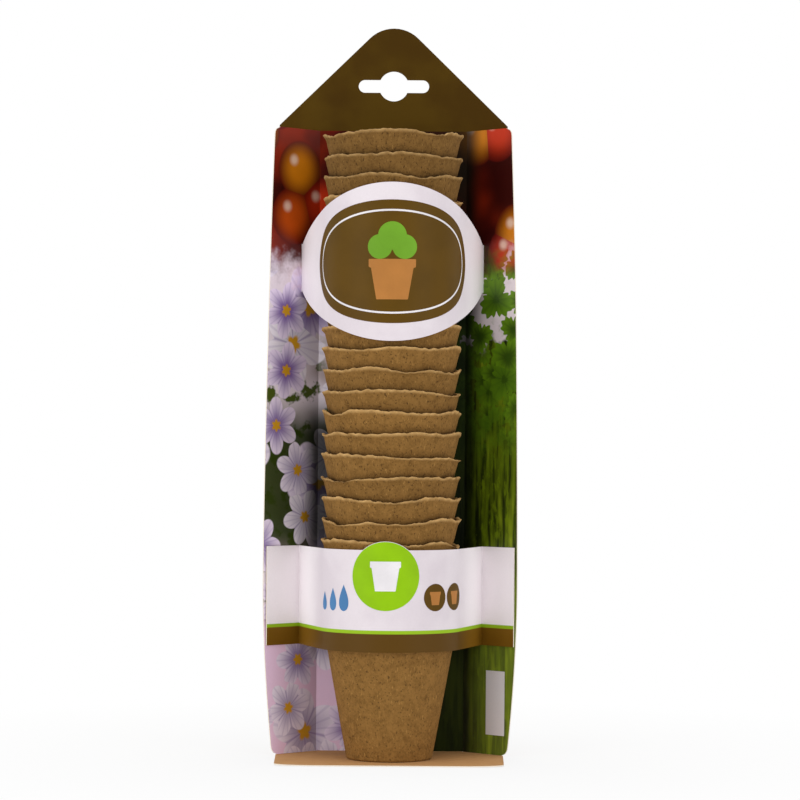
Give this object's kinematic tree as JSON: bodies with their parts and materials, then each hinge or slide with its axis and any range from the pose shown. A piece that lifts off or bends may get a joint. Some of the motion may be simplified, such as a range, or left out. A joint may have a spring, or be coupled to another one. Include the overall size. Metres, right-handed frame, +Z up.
{
  "type": "peat pot pack",
  "caption": "Column of nested tapered moulded-fibre plant pots held in a folded card carrier with hanging header, flared wings, oval label, front band and base flap.",
  "frame": {"origin": "on the axis of the pot stack, in the underside of the base flap", "axes": "+Z up along the stack, -Y towards the front band, +X to the right seen from the front"},
  "size_m": [0.112, 0.0622, 0.3184],
  "materials": {
    "moulded_fibre": "matt moulded wood fibre with dark specks",
    "brown_card": "brown printed card, satin",
    "printed_card": null,
    "white_card": "white printed card, satin",
    "kraft_card": "bare kraft card, matt"
  },
  "bodies": {
    "carrier": {"back_card": "brown_card", "left_wing": "printed_card", "right_wing": "printed_card", "oval_label": "white_card", "front_band": "white_card"},
    "flap": {"base_flap": "kraft_card"},
    "pot01_body": {"pot_01": "moulded_fibre"},
    "pot02_body": {"pot_02": "moulded_fibre"},
    "pot03_body": {"pot_03": "moulded_fibre"},
    "pot04_body": {"pot_04": "moulded_fibre"},
    "pot05_body": {"pot_05": "moulded_fibre"},
    "pot06_body": {"pot_06": "moulded_fibre"},
    "pot07_body": {"pot_07": "moulded_fibre"},
    "pot08_body": {"pot_08": "moulded_fibre"},
    "pot09_body": {"pot_09": "moulded_fibre"},
    "pot10_body": {"pot_10": "moulded_fibre"},
    "pot11_body": {"pot_11": "moulded_fibre"},
    "pot12_body": {"pot_12": "moulded_fibre"},
    "pot13_body": {"pot_13": "moulded_fibre"},
    "pot14_body": {"pot_14": "moulded_fibre"},
    "pot15_body": {"pot_15": "moulded_fibre"},
    "pot16_body": {"pot_16": "moulded_fibre"},
    "pot17_body": {"pot_17": "moulded_fibre"},
    "pot18_body": {"pot_18": "moulded_fibre"},
    "pot19_body": {"pot_19": "moulded_fibre"},
    "pot20_body": {"pot_20": "moulded_fibre"},
    "pot21_body": {"pot_21": "moulded_fibre"},
    "pot22_body": {"pot_22": "moulded_fibre"},
    "pot23_body": {"pot_23": "moulded_fibre"},
    "pot24_body": {"pot_24": "moulded_fibre"}
  },
  "joints": [
    {"name": "base_flap_fold", "type": "hinge", "parent": "carrier", "child": "flap", "pos_m": [0, 0.0311, 0.0005], "axis": [1, 0, 0], "range_deg": [0, 100]},
    {"name": "stack_lift", "type": "slide", "parent": "carrier", "child": "pot01_body", "axis": [0, 0, 1], "range_m": [0, 0.275]},
    {"name": "pot_02_lift", "type": "slide", "parent": "pot01_body", "child": "pot02_body", "axis": [0, 0, 1], "range_m": [0, 0.05]},
    {"name": "pot_03_lift", "type": "slide", "parent": "pot02_body", "child": "pot03_body", "axis": [0, 0, 1], "range_m": [0, 0.05]},
    {"name": "pot_04_lift", "type": "slide", "parent": "pot03_body", "child": "pot04_body", "axis": [0, 0, 1], "range_m": [0, 0.05]},
    {"name": "pot_05_lift", "type": "slide", "parent": "pot04_body", "child": "pot05_body", "axis": [0, 0, 1], "range_m": [0, 0.05]},
    {"name": "pot_06_lift", "type": "slide", "parent": "pot05_body", "child": "pot06_body", "axis": [0, 0, 1], "range_m": [0, 0.05]},
    {"name": "pot_07_lift", "type": "slide", "parent": "pot06_body", "child": "pot07_body", "axis": [0, 0, 1], "range_m": [0, 0.05]},
    {"name": "pot_08_lift", "type": "slide", "parent": "pot07_body", "child": "pot08_body", "axis": [0, 0, 1], "range_m": [0, 0.05]},
    {"name": "pot_09_lift", "type": "slide", "parent": "pot08_body", "child": "pot09_body", "axis": [0, 0, 1], "range_m": [0, 0.05]},
    {"name": "pot_10_lift", "type": "slide", "parent": "pot09_body", "child": "pot10_body", "axis": [0, 0, 1], "range_m": [0, 0.05]},
    {"name": "pot_11_lift", "type": "slide", "parent": "pot10_body", "child": "pot11_body", "axis": [0, 0, 1], "range_m": [0, 0.05]},
    {"name": "pot_12_lift", "type": "slide", "parent": "pot11_body", "child": "pot12_body", "axis": [0, 0, 1], "range_m": [0, 0.05]},
    {"name": "pot_13_lift", "type": "slide", "parent": "pot12_body", "child": "pot13_body", "axis": [0, 0, 1], "range_m": [0, 0.05]},
    {"name": "pot_14_lift", "type": "slide", "parent": "pot13_body", "child": "pot14_body", "axis": [0, 0, 1], "range_m": [0, 0.05]},
    {"name": "pot_15_lift", "type": "slide", "parent": "pot14_body", "child": "pot15_body", "axis": [0, 0, 1], "range_m": [0, 0.05]},
    {"name": "pot_16_lift", "type": "slide", "parent": "pot15_body", "child": "pot16_body", "axis": [0, 0, 1], "range_m": [0, 0.05]},
    {"name": "pot_17_lift", "type": "slide", "parent": "pot16_body", "child": "pot17_body", "axis": [0, 0, 1], "range_m": [0, 0.05]},
    {"name": "pot_18_lift", "type": "slide", "parent": "pot17_body", "child": "pot18_body", "axis": [0, 0, 1], "range_m": [0, 0.05]},
    {"name": "pot_19_lift", "type": "slide", "parent": "pot18_body", "child": "pot19_body", "axis": [0, 0, 1], "range_m": [0, 0.05]},
    {"name": "pot_20_lift", "type": "slide", "parent": "pot19_body", "child": "pot20_body", "axis": [0, 0, 1], "range_m": [0, 0.05]},
    {"name": "pot_21_lift", "type": "slide", "parent": "pot20_body", "child": "pot21_body", "axis": [0, 0, 1], "range_m": [0, 0.05]},
    {"name": "pot_22_lift", "type": "slide", "parent": "pot21_body", "child": "pot22_body", "axis": [0, 0, 1], "range_m": [0, 0.05]},
    {"name": "pot_23_lift", "type": "slide", "parent": "pot22_body", "child": "pot23_body", "axis": [0, 0, 1], "range_m": [0, 0.05]},
    {"name": "pot_24_lift", "type": "slide", "parent": "pot23_body", "child": "pot24_body", "axis": [0, 0, 1], "range_m": [0, 0.05]}
  ]
}
